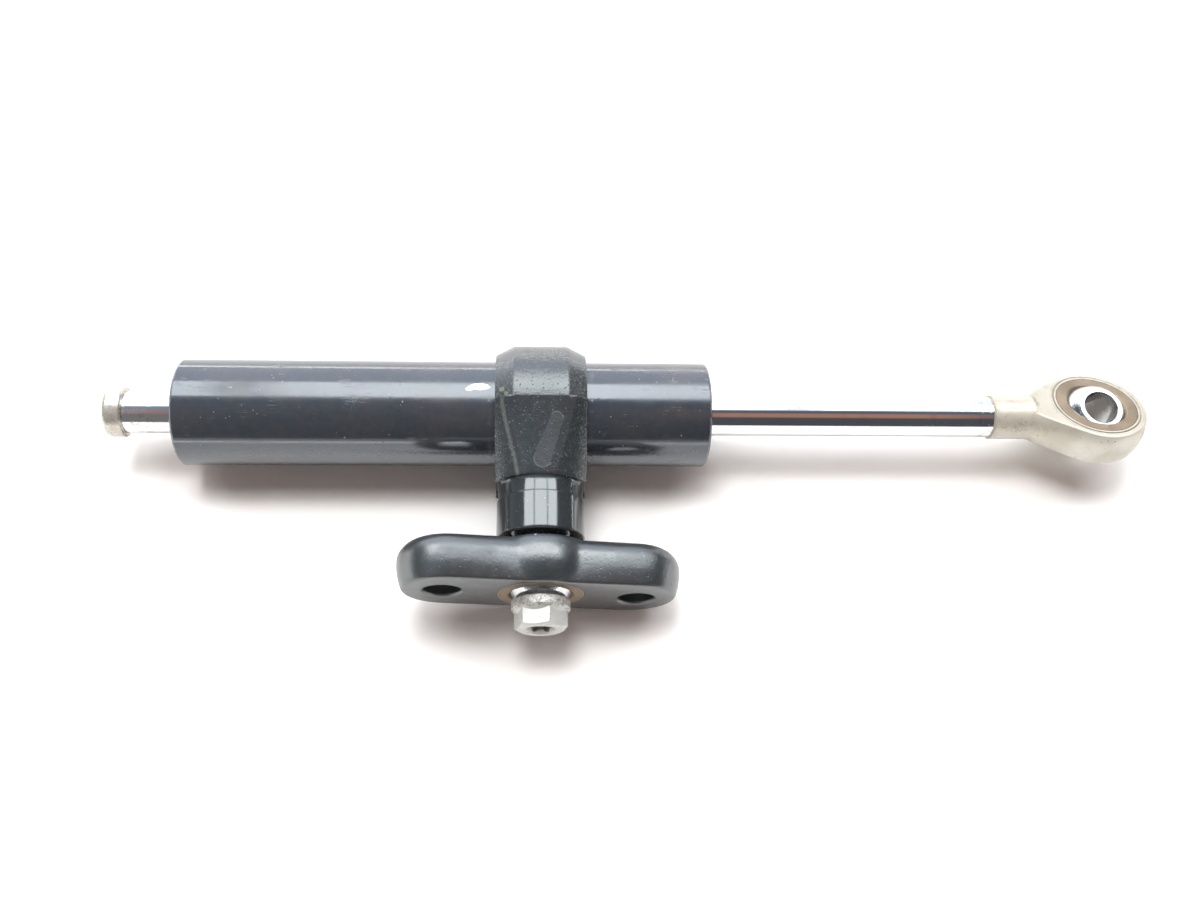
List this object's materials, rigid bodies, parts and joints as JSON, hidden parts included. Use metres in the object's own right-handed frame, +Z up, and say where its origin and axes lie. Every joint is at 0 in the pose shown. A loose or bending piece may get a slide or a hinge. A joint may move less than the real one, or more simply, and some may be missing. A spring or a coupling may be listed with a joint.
{
  "type": "steering damper",
  "caption": "Hydraulic steering damper: through rod in a sealed tube, glued clamp yoke with swivelling two-hole bracket, ball rod end.",
  "frame": {"origin": "middle of the bracket's two screw holes, on its flat mounting face", "axes": "+X along the rod towards the rod end, +Y from the bracket's mounting face towards the rod, +Z up"},
  "size_m": [0.2529, 0.0699, 0.0328],
  "materials": {
    "tube_paint": "satin dark grey paint, chipped and dusty",
    "yoke_paint": "satin dark grey paint over a fine cast grain",
    "bracket_paint": "satin dark grey paint over a fine cast grain",
    "rod_chrome": "hard chrome, ground smooth",
    "cap_nickel": "turned and nickel plated, slightly yellowed",
    "rod_end_plating": "forged and plated, pale and stained",
    "bearing_bronze": "turned bronze, dull",
    "ball_chrome": "hardened, ground and chromed",
    "bolt_zinc": "zinc plated, worn",
    "turned_aluminium": "plain turned aluminium",
    "band_plastic": "filled sliding plastic",
    "seal_rubber": "black nitrile rubber",
    "ring_steel": "dark spring steel"
  },
  "bodies": {
    "damper_body": {"cylinder_tube": "tube_paint", "clamp_yoke": "yoke_paint", "pivot_bolt": "bolt_zinc", "left_gland": "turned_aluminium", "left_guide_bush": "bearing_bronze", "left_rod_seal": "seal_rubber", "left_wiper": "seal_rubber", "left_gland_o_ring": "seal_rubber", "left_retaining_ring": "ring_steel", "right_gland": "turned_aluminium", "right_guide_bush": "bearing_bronze", "right_rod_seal": "seal_rubber", "right_wiper": "seal_rubber", "right_gland_o_ring": "seal_rubber", "right_retaining_ring": "ring_steel"},
    "piston_group": {"piston": "turned_aluminium", "piston_band": "band_plastic"},
    "rod_group": {"damper_rod": "rod_chrome", "left_piston_clip": "ring_steel", "right_piston_clip": "ring_steel", "rod_end_cap": "cap_nickel", "rod_end_housing": "rod_end_plating", "rod_end_race": "bearing_bronze"},
    "eye_ball": {"rod_end_ball": "ball_chrome"},
    "swivel_ball": {"bracket_ball": "ball_chrome"},
    "bracket_group": {"mounting_bracket": "bracket_paint", "bracket_race": "bearing_bronze"}
  },
  "joints": [
    {"name": "piston_slide", "type": "slide", "parent": "damper_body", "child": "piston_group", "axis": [1, 0, 0], "range_m": [-0.0623, 0.01]},
    {"name": "rod_spin", "type": "hinge", "parent": "piston_group", "child": "rod_group", "pos_m": [0, 0.04532, 0], "axis": [1, 0, 0], "continuous": true},
    {"name": "rod_end_tilt", "type": "hinge", "parent": "rod_group", "child": "eye_ball", "pos_m": [0.1382, 0.04532, 0], "axis": [1, 0, 0], "range_deg": [-48, 2]},
    {"name": "bracket_spin", "type": "hinge", "parent": "damper_body", "child": "swivel_ball", "pos_m": [0, 0.00555, 0], "axis": [0, 1, 0], "continuous": true},
    {"name": "bracket_tilt", "type": "hinge", "parent": "swivel_ball", "child": "bracket_group", "pos_m": [0, 0.00555, 0], "axis": [0.9863, 0, -0.165], "range_deg": [-7.5, 7.5]}
  ]
}
